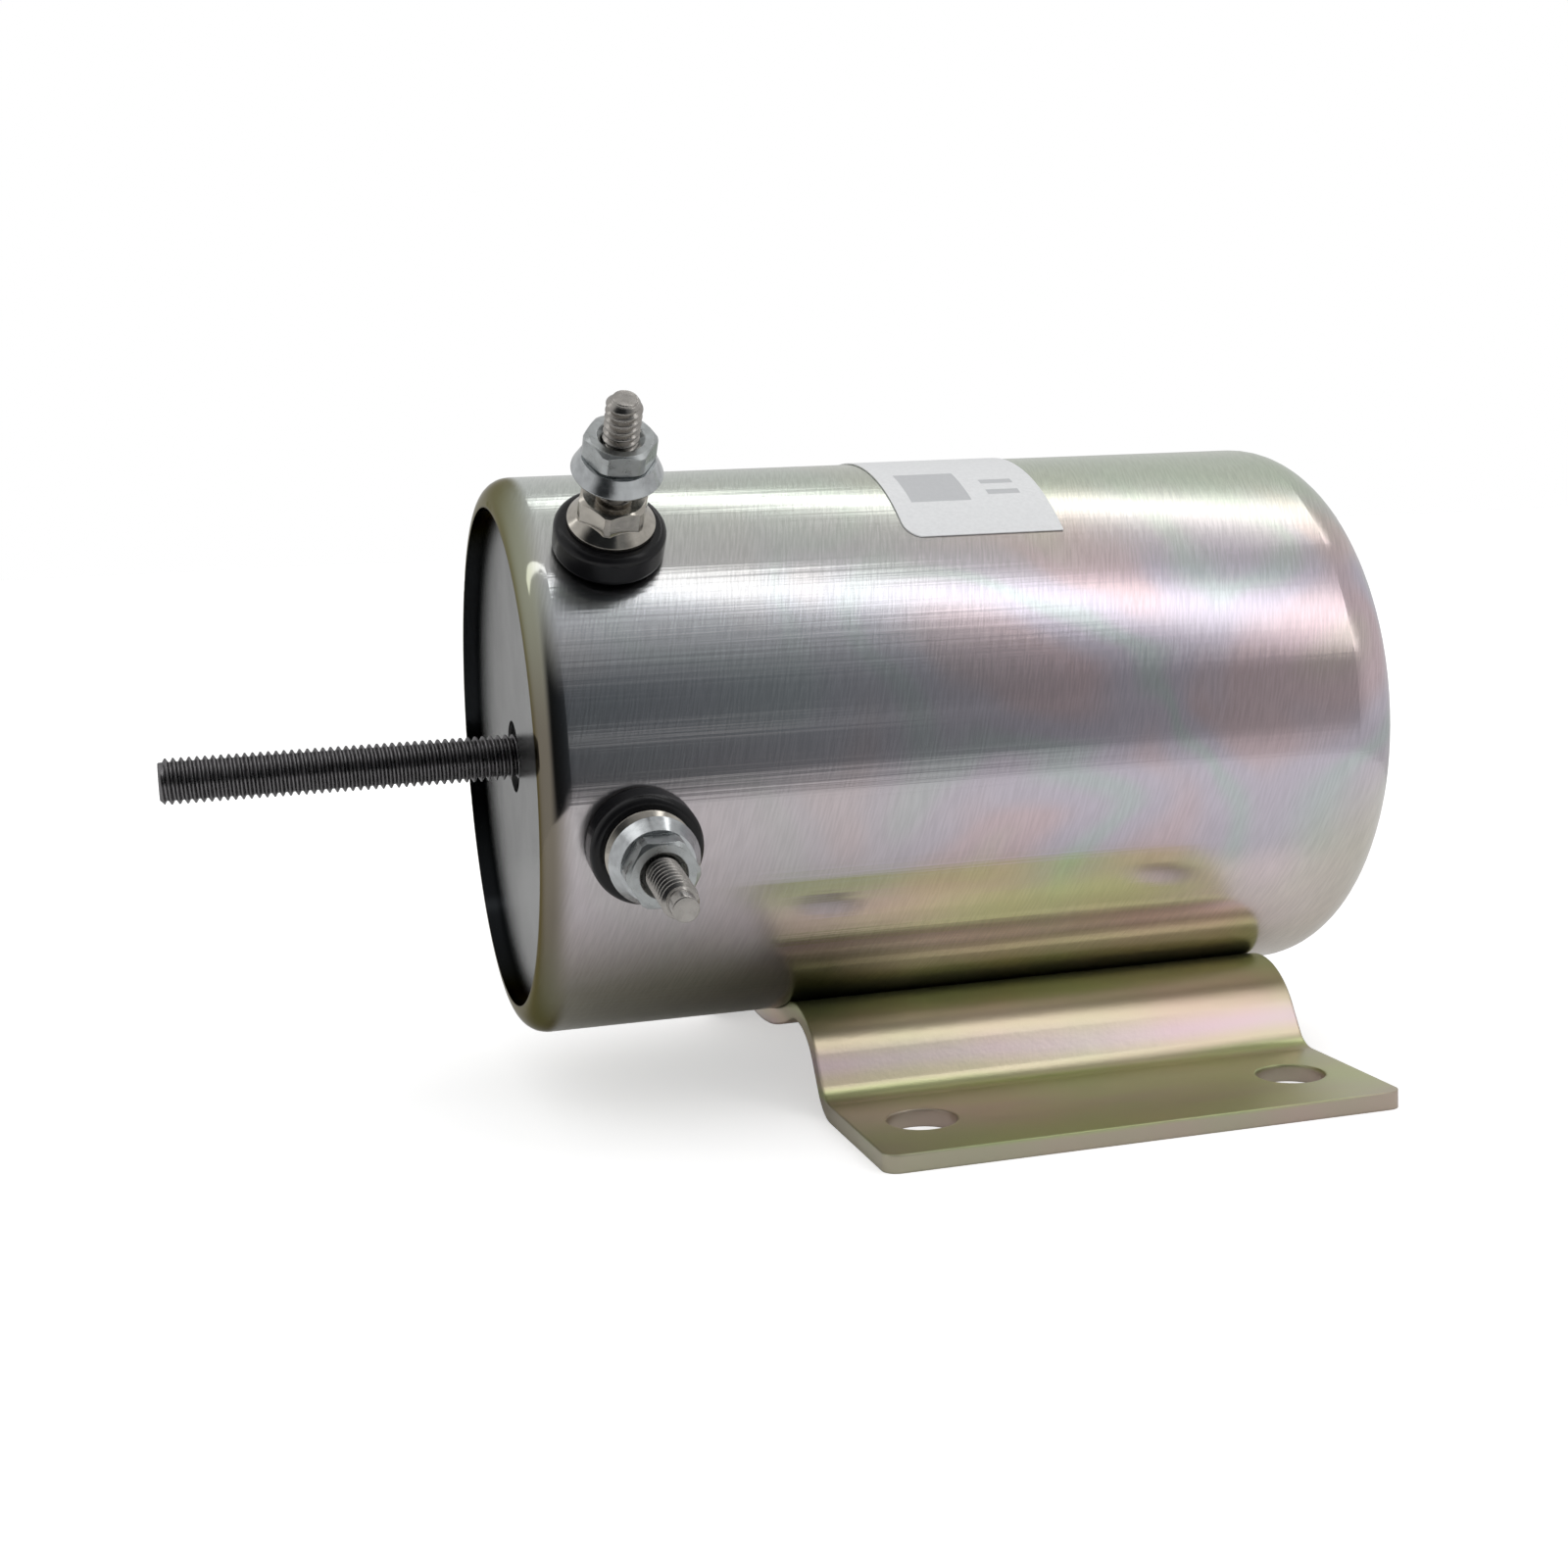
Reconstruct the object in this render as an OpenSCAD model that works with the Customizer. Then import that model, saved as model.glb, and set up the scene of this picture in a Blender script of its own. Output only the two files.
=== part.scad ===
// Fuel shutoff solenoid: a pull solenoid in a drawn steel can on a welded sheet bracket.
// The plunger's axis runs along X, with the threaded rod towards -X. Z points up.
// The origin is the centre of the four foot holes, on the underside of the feet.

/* [Shell] */
// Outer diameter of the shell
shell_d = 59; // [57:0.5:64]
// Length of the shell from the turned-in edge to the closed end
shell_l = 92; // [90:0.5:110]
// Wall of the shell
shell_wall = 1.7; // [1.2:0.1:2]
// Outer corner radius at the open end
front_corner_r = 2.8; // [2.6:0.1:3.5]
// Outer corner radius at the closed end
rear_corner_r = 6.3; // [5:0.1:7]
// Diameter of the opening inside the turned-in edge
opening_d = 53; // [48:0.5:53]

/* [Bracket] */
// Length of the bracket along the shell
bracket_l = 54; // [50:1:60]
// Width over both feet
bracket_w = 88; // [84:1:100]
// Thickness of the bracket's sheet
sheet_t = 1.8; // [1.5:0.1:2.5]
// Height of the shell's axis above the underside of the feet
axis_h = 36.4; // [35.5:0.1:40]
// Distance from the shell's open end to the middle of the bracket
bracket_x = 54.7; // [50:0.1:60]
// Angle from the bottom of the shell to each end of the saddle
saddle_angle = 23; // [18:1:28]
// Slope of the bracket's walls from the horizontal
wall_slope = 58; // [50:1:70]
// Inner radius of the bend at the top of each wall
top_bend_r = 6.5; // [4:0.1:7]
// Inner radius of the bend at the foot
foot_bend_r = 2.9; // [1:0.1:3]
// Corner radius of the feet
foot_corner_r = 1.5; // [1:0.5:4]
// Diameter of the foot holes
foot_hole_d = 7.1; // [5.5:0.1:8.5]
// Distance between the foot holes along the shell
hole_pitch_x = 40; // [30:1:42]
// Distance between the foot holes across the shell
hole_pitch_y = 68; // [66:1:74]

/* [Plunger] */
// Travel of the plunger
stroke = 25; // [10:1:26]
// Diameter of the plunger
plunger_d = 24; // [18:0.5:26]
// Length of the conical tail
tail_l = 6; // [3:0.5:8]
// Diameter of the small end of the tail
tail_end_d = 16; // [14:0.5:17]
// Diameter of the spring bore in the plunger and the core
spring_bore_d = 11; // [10.5:0.1:12]
// Depth of the spring bore in the plunger
plunger_bore_l = 14.2; // [12:0.1:18]
// Depth of the spring bore in the core
core_bore_l = 8; // [6:0.5:10]
// Thickness of the core behind its spring bore
core_back_t = 8.85; // [5:0.05:12]

/* [Rod] */
// Diameter of the threaded rod
rod_d = 4.83; // [4:0.01:6]
// Pitch of the threads of the rod and of the studs
thread_pitch = 0.794; // [0.5:0.001:1]
// Length of the rod outside the shell at rest
rod_out = 34.8; // [28:0.1:45]
// Length of the rod behind its lock nut
rod_tail = 1.2; // [0.5:0.1:3]
// Chamfer at the ends of the rod
rod_chamfer = 0.5; // [0.2:0.1:0.8]
// Width across flats of the lock nut
lock_nut_af = 8; // [7:0.1:8]
// Thickness of the lock nut
lock_nut_t = 3; // [2:0.1:4]

/* [End plate] */
// Thickness of the end plate
end_plate_t = 2.5; // [1.5:0.1:3]
// Hole in the end plate for the rod
rod_hole_d = 7.7; // [7:0.1:9]
// Thickness of the bumper washer
bumper_t = 2; // [1:0.1:2.5]

/* [Magnet] */
// Thickness of the front flux washer
flux_washer_t = 4; // [3:0.5:6]
// Thickness of the spacer ring
spacer_t = 1.4; // [1:0.1:2]
// Length of the spacer ring
spacer_l = 10.3; // [10.3:0.1:12]
// Wall of the guide tube
tube_wall = 0.6; // [0.4:0.1:1]
// Wall of the bobbin's tube
bobbin_wall = 1; // [0.8:0.1:1.6]
// Thickness of the bobbin's flanges
bobbin_flange_t = 2; // [1.5:0.1:3]
// Thickness of the tape over the winding
tape_t = 0.5; // [0.3:0.1:1]
// Thickness of the paper liner
liner_t = 0.4; // [0.3:0.1:0.6]
// Thickness of the rear pad
rear_pad_t = 2; // [1:0.1:3]
// Thickness of the rear core's flange
core_flange_t = 4; // [3:0.5:6]
// Wire diameter of the return spring
spring_wire_d = 0.9; // [0.6:0.1:1]
// Outer diameter of the return spring
spring_d = 9.6; // [9:0.1:10]
// Turns of the return spring, with its closed ends
spring_turns = 13; // [8:1:16]

/* [Terminals] */
// Distance from the shell's open end to the terminals
terminal_x = 9.3; // [9.3:0.1:10.5]
// Angle of the upper terminal from the top of the shell, towards the near foot
upper_angle = 42; // [20:1:60]
// Angle between the two terminals
terminal_spread = 59; // [50:1:70]
// Diameter of the terminal studs
stud_d = 3.5; // [3:0.1:4]
// Height of the studs above the shell
stud_h = 18.5; // [16:0.1:22]
// Chamfer at the ends of the studs
stud_chamfer = 0.6; // [0.2:0.1:0.8]
// Diameter of the outer bushes
bush_d = 11; // [10:0.1:12]
// Height of the outer bushes above the shell
bush_h = 3.3; // [2.5:0.1:4]
// Diameter of the holes in the shell for the bushes
bush_hole_d = 6.8; // [6:0.1:7.5]
// Width across flats of the studs' heads
stud_head_af = 5.5; // [5:0.1:6.5]
// Thickness of the studs' heads
stud_head_t = 2; // [1.5:0.1:2.5]
// Diameter of the ring lugs
lug_d = 6.4; // [6:0.1:7]
// Thickness of the ring lugs
lug_t = 0.6; // [0.5:0.1:0.8]
// Diameter of the leads' insulation
wire_d = 1.8; // [1.2:0.1:2]
// Diameter of the inner insulating washers
inner_washer_d = 9.4; // [8:0.1:9.8]
// Thickness of the inner insulating washers
inner_washer_t = 1.5; // [1:0.1:2]

/* [Terminal nuts] */
// Width across flats of the nuts
nut_af = 6.35; // [5.5:0.05:6.5]
// Diameter over the rounded corners of the nuts
nut_corner_d = 7; // [6.6:0.1:7.1]
// Thickness of the hex nuts
nut_t = 2.45; // [2:0.05:3]
// Diameter of the flange nuts' flange
flange_d = 8.6; // [8:0.1:9.5]
// Height of the flange nuts
flange_nut_h = 3.7; // [3.2:0.1:4.5]
// Diameter of the cone washers
cone_d = 8.8; // [8.4:0.1:9.6]
// Height of the cone washers
cone_h = 1.85; // [1.4:0.05:2.2]
// Thickness of the cone washers
cone_t = 0.45; // [0.3:0.05:0.6]
// Height of the upper hex nut above its flange nut
upper_nut_lift = 4.65; // [2.5:0.05:6]
// Turn of the upper flange nut on its stud
upper_flange_turn = 11; // [-30:1:30]
// Turn of the lower flange nut on its stud
lower_flange_turn = 20; // [-30:1:30]
// Turn of the upper hex nut on its stud
upper_hex_turn = -4; // [-30:1:30]
// Turn of the lower hex nut on its stud
lower_hex_turn = 0; // [-30:1:30]

/* [Label] */
// Length of the label along the shell
label_l = 17; // [10:0.5:25]
// Angle of the shell that the label covers
label_arc = 62; // [30:1:80]
// Angle of the label's near edge from the top of the shell, towards the near foot
label_edge_angle = 43; // [35:1:60]
// Distance from the shell's open end to the label
label_x = 40; // [25:0.5:55]
// Corner radius of the label
label_corner_r = 2; // [1:0.5:4]
// Thickness of the label
label_t = 0.12; // [0.1:0.01:0.3]

/* [Hidden] */
$fn = 96;

// Clearances
weld_gap = 0.03;        // between parts fixed on a curved face
plunger_clearance = 0.08; // radial, plunger in its guide tube
slip_gap = 0.1;         // radial, between nested fixed parts
thread_gap = 0.04;      // radial, screw in its nut
thread_relief = 0.2;    // how far a screw's slimmer stretch runs past what is screwed on it
stop_gap = 0.2;         // between the plunger and the core when pulled in
rest_gap = 0.05;        // between the plunger and the bumper at rest
bush_gap = 0.2;         // radial, bush in the shell's hole
stud_gap = 0.1;         // radial, stud in its bushes
wire_gap = 0.6;         // radial, wire in the notches that it passes
bumper_inset = 0.5;     // from the bumper washer's edges to the rod hole and the plunger's edge
winding_margin = 0.8;   // from the tape to the bobbin's flange edge
land_w = 0.6;           // flat rim around the core's conical seat
notch_slack = 1;        // from the spacer ring's ends to the terminals' washers
bend_join = 0.0002;     // how far a bend's circle crosses the faces that it joins
cut = 1;                // how far a cut runs past a face

// Shell radii
shell_r = shell_d / 2;
inner_r = shell_r - shell_wall;

// Places along the axis, from the shell's open end
end_plate_z = shell_wall;
spacer_z = end_plate_z + end_plate_t;
bumper_z = spacer_z;
flux_washer_z = spacer_z + spacer_l;
bobbin_z = flux_washer_z + flux_washer_t;
rear_wall_z = shell_l - shell_wall;
core_flange_z = rear_wall_z - core_flange_t;
rear_pad_z = core_flange_z - rear_pad_t;
plunger_z = bumper_z + bumper_t + rest_gap;
spring_end_z = rear_wall_z - core_back_t;
seat_z = spring_end_z - core_bore_l;
plunger_end_z = seat_z - stop_gap - stroke;
lock_nut_z = plunger_end_z - plunger_bore_l;
spring_z = lock_nut_z + lock_nut_t;
rod_end_z = spring_z + rod_tail;

// A thread's mean diameter, where a screw and its nut meet, is this much less than its full one
thread_depth = 0.65 * thread_pitch;
rod_mean_d = rod_d - thread_depth;
stud_mean_d = stud_d - thread_depth;

// Radii of the parts nested inside the shell
plunger_r = plunger_d / 2;
tube_r = plunger_r + plunger_clearance;
tube_outer_r = tube_r + tube_wall;
bobbin_r = tube_outer_r + slip_gap;
winding_r = bobbin_r + bobbin_wall;
liner_outer_r = inner_r - slip_gap;
liner_r = liner_outer_r - liner_t;
bobbin_flange_r = liner_r - slip_gap;
tape_r = bobbin_flange_r - winding_margin;
coil_r = tape_r - tape_t;
core_flange_r = shell_r - rear_corner_r - slip_gap;
seat_rim_r = plunger_r - land_w;
tail_slope = (plunger_r - tail_end_d / 2) / tail_l;

// Small details of the nuts and bushes
bush_top_r = 0.8;       // rounding of the bushes' top edge
bush_foot_r = 0.6;      // rounding of the bushes' edge at the shell
closed_pitch = 1.02;    // pitch of the spring's closed turns, in wire diameters
edge_break = 0.15;      // broken edges of the flange and of the nuts' flats
nut_crown = 0.3;        // height of the nuts' rounded corners
nut_countersink = 0.75; // depth of the hex nuts' countersink
flange_rim_t = 0.5;     // height of the flange's straight rim
flange_slope_h = 1;     // height of the flange's cone
cone_seat_rim = 0.1;    // how far the cone washer's crown reaches past the nut

// Heights on a terminal, from the shell's axis along the stud
bush_top = shell_r + bush_h;
flange_nut_top = bush_top + flange_nut_h;
upper_nut_z = flange_nut_top + upper_nut_lift;
lower_nut_z = flange_nut_top + cone_t;
lower_angle = upper_angle + terminal_spread;
inner_washer_top = sqrt(inner_r * inner_r - inner_washer_d * inner_washer_d / 4) - weld_gap;
inner_washer_bottom = inner_washer_top - inner_washer_t;
lug_bottom = inner_washer_bottom - lug_t;
wire_r = lug_bottom + lug_t - wire_d / 2;
wire_overlap = 0.3;     // how far the wire runs onto its lug

// Bracket outline on one side: centres of the two bends, outward from the middle and up
saddle_r = shell_r + weld_gap;
top_bend_reach = saddle_r + sheet_t + top_bend_r;
top_bend_y = top_bend_reach * sin(saddle_angle);
top_bend_z = axis_h - top_bend_reach * cos(saddle_angle);
foot_bend_z = foot_bend_r + sheet_t;
bend_span = top_bend_r + foot_bend_z;
foot_bend_y = top_bend_y + bend_span / sin(wall_slope)
    + (top_bend_z - foot_bend_z) / tan(wall_slope);

// Places a piece on the shell's axis, with its own Z along the shell from the open end
module on_axis() {
    translate([-bracket_x, 0, axis_h]) rotate([0, 90, 0]) children();
}

// Places a piece on a terminal, with its own Z along the stud from the shell's axis
module on_terminal(angle) {
    translate([terminal_x - bracket_x, 0, axis_h]) rotate([angle, 0, 0]) children();
}

// A ring between two radii, from z0 to z1
module ring(r_in, r_out, z0, z1) {
    rotate_extrude() translate([r_in, z0]) square([r_out - r_in, z1 - z0]);
}

// A bar with a chamfer at each end
module chamfered_bar(d, z0, z1, chamfer) {
    rotate_extrude() polygon([
        [0, z0], [d / 2 - chamfer, z0], [d / 2, z0 + chamfer],
        [d / 2, z1 - chamfer], [d / 2 - chamfer, z1], [0, z1]
    ]);
}

// A screw as a plain bar: its full diameter where it is free, its mean diameter where it is screwed in
module screw(d, mean_d, z0, z1, chamfer, screwed) {
    difference() {
        chamfered_bar(d, z0, z1, chamfer);
        for (span = screwed) ring(mean_d / 2, d, span[0], span[1]);
    }
}

// A hexagon with a flat-to-flat width, a corner at the given turn
module hexagon(af, turn) {
    rotate(turn) circle(d = af / cos(30), $fn = 6);
}

// A rectangle centred on the origin with round corners
module rounded_rectangle(size, r) {
    square([size[0] - 2 * r, size[1]], center = true);
    square([size[0], size[1] - 2 * r], center = true);
    for (x = [-1, 1], y = [-1, 1])
        translate([x * (size[0] / 2 - r), y * (size[1] / 2 - r)]) circle(r);
}

// Half section of a can, to the right of the axis, with a corner radius at each end
module can_section(r, z0, z1, corner0, corner1) {
    translate([0, z0]) square([r - corner0, corner0]);
    translate([0, z0 + corner0]) square([r, z1 - corner1 - z0 - corner0]);
    translate([0, z1 - corner1]) square([r - corner1, corner1]);
    intersection() {
        translate([r - corner0, z0 + corner0]) circle(corner0);
        translate([r - corner0, z0]) square(corner0);
    }
    intersection() {
        translate([r - corner1, z1 - corner1]) circle(corner1);
        translate([r - corner1, z1 - corner1]) square(corner1);
    }
}

module shell() {
    color("silver") difference() {
        on_axis() rotate_extrude() difference() {
            can_section(shell_r, 0, shell_l, front_corner_r, rear_corner_r);
            can_section(inner_r, shell_wall, rear_wall_z,
                front_corner_r - shell_wall, rear_corner_r - shell_wall);
            translate([0, -cut]) square([opening_d / 2, shell_wall + 2 * cut]);
        }
        for (angle = [upper_angle, upper_angle + terminal_spread])
            on_terminal(angle) cylinder(d = bush_hole_d, h = shell_r + cut);
    }
}

// A wedge from the origin between two angles less than 180 degrees apart, past radius r
module wedge(r, a0, a1) {
    far = r / cos((a1 - a0) / 2) + cut;
    polygon([
        [0, 0], far * [cos(a0), sin(a0)],
        far * [cos((a0 + a1) / 2), sin((a0 + a1) / 2)], far * [cos(a1), sin(a1)]
    ]);
}

// Draws an outline in the YZ plane along the bracket's length
module along_bracket() {
    translate([-bracket_l / 2, 0, 0]) rotate([90, 0, 90]) linear_extrude(bracket_l) children();
}

// What a bend's circle leaves of the wedge in front of it, on both sides of the bracket
module outside_bend(y, z, r, a0, a1) {
    for (side = [0, 1]) mirror([0, side, 0]) along_bracket() translate([-y, z]) difference() {
        wedge(r, a0, a1);
        circle(r + bend_join);
    }
}

// What lies below one face of the bracket's sheet: level 0 is its underside, sheet_t its top
module below_sheet(level) {
    top_r = top_bend_r + level;
    foot_r = foot_bend_z - level;
    corner_l = top_r / cos((saddle_angle + wall_slope) / 2);
    corner_y = top_bend_y - corner_l * cos(90 + (wall_slope - saddle_angle) / 2);
    corner_z = top_bend_z + corner_l * sin(90 + (wall_slope - saddle_angle) / 2);
    base_y = corner_y + (corner_z - level) / tan(wall_slope);
    difference() {
        union() {
            along_bracket() polygon([
                [-bracket_w, -axis_h], [-bracket_w, level], [-base_y, level], [-corner_y, corner_z],
                [corner_y, corner_z], [base_y, level], [bracket_w, level], [bracket_w, -axis_h]
            ]);
            outside_bend(foot_bend_y, foot_bend_z, foot_r, -90, wall_slope - 90);
        }
        along_bracket() translate([0, axis_h]) circle(saddle_r + sheet_t - level);
        outside_bend(top_bend_y, top_bend_z, top_r, 90 - saddle_angle, 90 + wall_slope);
    }
}

module mounting_bracket() {
    color("khaki") difference() {
        intersection() {
            difference() {
                below_sheet(sheet_t);
                below_sheet(0);
            }
            translate([0, 0, -cut]) linear_extrude(axis_h)
                rounded_rectangle([bracket_l, bracket_w], foot_corner_r);
        }
        for (x = [-1, 1], y = [-1, 1])
            translate([x * hole_pitch_x / 2, y * hole_pitch_y / 2, -cut])
                cylinder(d = foot_hole_d, h = sheet_t + 2 * cut);
    }
}

module end_plate() {
    chamfer = front_corner_r - shell_wall;
    color("gray") on_axis() rotate_extrude() polygon([
        [rod_hole_d / 2, end_plate_z], [inner_r - slip_gap - chamfer, end_plate_z],
        [inner_r - slip_gap, end_plate_z + chamfer], [inner_r - slip_gap, spacer_z],
        [rod_hole_d / 2, spacer_z]
    ]);
}

module label() {
    label_r = shell_r + weld_gap;
    mid_angle = label_edge_angle - label_arc / 2;
    color("white") translate([label_x + label_l / 2 - bracket_x, 0, axis_h]) rotate([mid_angle, 0, 0])
        intersection() {
            translate([-label_l / 2, 0, 0]) rotate([0, 90, 0])
                rotate([0, 0, 180 - label_arc / 2]) rotate_extrude(angle = label_arc)
                    translate([label_r, 0]) square([label_t, label_l]);
            linear_extrude(shell_r + cut)
                rounded_rectangle([label_l, 2 * (label_r + label_t) * sin(label_arc / 2)], label_corner_r);
        }
}

module plunger() {
    color("dimgray") on_axis() rotate_extrude() polygon([
        [rod_mean_d / 2 + thread_gap, plunger_z],
        [plunger_r - rod_chamfer, plunger_z],
        [plunger_r, plunger_z + rod_chamfer],
        [plunger_r, plunger_end_z - tail_l],
        [tail_end_d / 2, plunger_end_z],
        [spring_bore_d / 2, plunger_end_z],
        [spring_bore_d / 2, lock_nut_z],
        [rod_mean_d / 2 + thread_gap, lock_nut_z]
    ]);
}

module plunger_rod() {
    color("slategray") on_axis() screw(rod_d, rod_mean_d, -rod_out, rod_end_z, rod_chamfer,
        [[end_plate_z - thread_relief, rod_end_z + cut]]);
}

module rod_lock_nut() {
    color("silver") on_axis() difference() {
        translate([0, 0, lock_nut_z]) linear_extrude(lock_nut_t) hexagon(lock_nut_af, 0);
        translate([0, 0, lock_nut_z - cut])
            cylinder(r = rod_mean_d / 2 + thread_gap, h = lock_nut_t + 2 * cut);
    }
}

// Height along the spring after a share of its length: the first and last turns lie closed
function spring_rise(t) =
    let (free = spring_end_z - spring_z - spring_wire_d)
    let (closed = closed_pitch * spring_wire_d, n = spring_turns * t)
    n < 1 ? n * closed :
    n > spring_turns - 1 ? free - (spring_turns - n) * closed :
    closed + (n - 1) * (free - 2 * closed) / (spring_turns - 2);

module return_spring() {
    sides = 6;
    steps = 18;
    rings = spring_turns * steps;
    mean_r = (spring_d - spring_wire_d) / 2;
    points = [
        for (i = [0 : rings], k = [0 : sides - 1])
            let (a = 360 * i / steps, b = 360 * (k + 0.5) / sides, r = mean_r + spring_wire_d / 2 * cos(b))
            [r * cos(a), r * sin(a), spring_z + spring_wire_d / 2 + spring_rise(i / rings)
                + spring_wire_d / 2 * sin(b)]
    ];
    walls = [
        for (i = [0 : rings - 1], k = [0 : sides - 1])
            let (k2 = (k + 1) % sides)
            [i * sides + k, i * sides + k2, (i + 1) * sides + k2, (i + 1) * sides + k]
    ];
    ends = [
        [for (k = [0 : sides - 1]) sides - 1 - k],
        [for (k = [0 : sides - 1]) rings * sides + k]
    ];
    color("lightsteelblue") on_axis() polyhedron(points, concat(walls, ends), convexity = 10);
}

module bumper_washer() {
    color("black") on_axis()
        ring(rod_hole_d / 2 + bumper_inset, plunger_r - bumper_inset, bumper_z, bumper_z + bumper_t);
}

module guide_tube() {
    color("goldenrod") on_axis() ring(tube_r, tube_outer_r, flux_washer_z, core_flange_z);
}

// Fixed core: a flange on the rear wall and a stem in the guide tube, with a conical seat
module rear_core() {
    seat_rim_z = seat_z - (seat_rim_r - tail_end_d / 2) / tail_slope;
    color("dimgray") on_axis() rotate_extrude() polygon([
        [0, spring_end_z], [spring_bore_d / 2, spring_end_z],
        [spring_bore_d / 2, seat_z], [tail_end_d / 2, seat_z],
        [seat_rim_r, seat_rim_z], [tube_r - slip_gap, seat_rim_z],
        [tube_r - slip_gap, core_flange_z], [core_flange_r, core_flange_z],
        [core_flange_r, rear_wall_z], [0, rear_wall_z]
    ]);
}

// A notch for the wires of both terminals, from z0 to z1 and out past the rim
module wire_notches(z0, z1) {
    notch_w = wire_d + 2 * wire_gap;
    notch_r = wire_r - wire_d / 2 - wire_gap;
    for (angle = [upper_angle, upper_angle + terminal_spread])
        on_terminal(angle) translate([z0 - terminal_x, -notch_w / 2, notch_r])
            cube([z1 - z0, notch_w, shell_r]);
}

module flux_washer() {
    color("gray") difference() {
        on_axis() ring(tube_outer_r + slip_gap, inner_r - slip_gap, flux_washer_z, bobbin_z);
        wire_notches(flux_washer_z - cut, bobbin_z + cut);
    }
}

// Open ring whose gap leaves room for the inner ends of both terminals
module spacer_ring() {
    side_angle = asin((inner_washer_d / 2 + notch_slack) / inner_r);
    gap_angle = terminal_spread + 2 * side_angle;
    color("gray") on_axis() rotate([0, 0, 180 + upper_angle + terminal_spread + side_angle])
        rotate_extrude(angle = 360 - gap_angle)
            translate([inner_r - slip_gap - spacer_t, spacer_z]) square([spacer_t, spacer_l]);
}

module bobbin() {
    color("ivory") difference() {
        on_axis() rotate_extrude() difference() {
            translate([bobbin_r, bobbin_z]) square([bobbin_flange_r - bobbin_r, rear_pad_z - bobbin_z]);
            translate([winding_r, bobbin_z + bobbin_flange_t])
                square([bobbin_flange_r, rear_pad_z - bobbin_z - 2 * bobbin_flange_t]);
        }
        wire_notches(bobbin_z - cut, bobbin_z + bobbin_flange_t);
    }
}

module coil() {
    color("peru") on_axis()
        ring(winding_r, coil_r, bobbin_z + bobbin_flange_t, rear_pad_z - bobbin_flange_t);
}

module coil_tape() {
    color("khaki") on_axis()
        ring(coil_r, tape_r, bobbin_z + bobbin_flange_t, rear_pad_z - bobbin_flange_t);
}

module insulating_liner() {
    color("wheat") on_axis() ring(liner_r, liner_outer_r, bobbin_z, rear_pad_z);
}

module rear_pad() {
    color("black") on_axis() ring(bobbin_r, tape_r, rear_pad_z, core_flange_z);
}

// Terminal stud with a hexagonal head inside the shell, in a flange nut and a hex nut at height nut_z
module stud(angle, nut_z) {
    color("lightgray") on_terminal(angle) {
        screw(stud_d, stud_mean_d, lug_bottom - stud_head_t / 2, shell_r + stud_h, stud_chamfer, [
            [bush_top - thread_relief, flange_nut_top + thread_relief],
            [nut_z - cone_t, nut_z + nut_t + thread_relief]
        ]);
        translate([0, 0, lug_bottom - stud_head_t]) linear_extrude(stud_head_t) hexagon(stud_head_af, 30);
    }
}

// Insulating bush: a round flange on the shell and a neck in the shell's hole
module outer_bush(angle) {
    color("black") on_terminal(angle) difference() {
        union() {
            rotate_extrude()
                can_section(bush_d / 2, shell_r + weld_gap, bush_top, bush_foot_r, bush_top_r);
            translate([0, 0, inner_r])
                cylinder(d = bush_hole_d - 2 * bush_gap, h = bush_top - bush_top_r - inner_r);
        }
        translate([0, 0, inner_r - cut])
            cylinder(r = stud_d / 2 + stud_gap, h = bush_top - inner_r + 2 * cut);
    }
}

module inner_washer(angle) {
    color("saddlebrown") on_terminal(angle)
        ring(stud_d / 2 + stud_gap, inner_washer_d / 2, inner_washer_bottom, inner_washer_top);
}

// Hexagon with its corners rounded off at one or both ends, from z0 to z1
module nut_body(z0, z1, turn, crown0, crown1) {
    intersection() {
        translate([0, 0, z0]) linear_extrude(z1 - z0) hexagon(nut_af, turn);
        rotate_extrude() polygon([
            [0, z0], [crown0 > 0 ? nut_af / 2 - edge_break : nut_corner_d / 2, z0],
            [nut_corner_d / 2, z0 + crown0], [nut_corner_d / 2, z1 - crown1],
            [nut_af / 2 - edge_break, z1], [0, z1]
        ]);
    }
}

// Flange nut: a hexagon that rises out of a conical flange
module flange_nut(angle, turn) {
    rim_top = bush_top + flange_rim_t;
    color("gainsboro") on_terminal(angle) difference() {
        union() {
            rotate_extrude() polygon([
                [0, bush_top], [flange_d / 2 - edge_break, bush_top],
                [flange_d / 2, bush_top + edge_break], [flange_d / 2, rim_top],
                [nut_af / 2, rim_top + flange_slope_h], [0, rim_top + flange_slope_h]
            ]);
            nut_body(rim_top, flange_nut_top, turn, 0, nut_crown);
        }
        translate([0, 0, bush_top - cut])
            cylinder(r = stud_mean_d / 2 + thread_gap, h = flange_nut_h + 2 * cut);
    }
}

// Cone washer, with its flat crown under the nut at height z
module cone_washer(angle, z) {
    crown_r = nut_corner_d / 2 + cone_seat_rim;
    bore_r = stud_d / 2 + stud_gap;
    rim_r = cone_d / 2;
    color("lightsteelblue") on_terminal(angle) rotate_extrude() polygon([
        [bore_r, z - cone_t], [bore_r, z], [crown_r, z],
        [rim_r, z - cone_h + cone_t / 2], [rim_r - cone_t / 4, z - cone_h],
        [rim_r - cone_t, z - cone_h], [crown_r - cone_t / 2, z - cone_t]
    ]);
}

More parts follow.
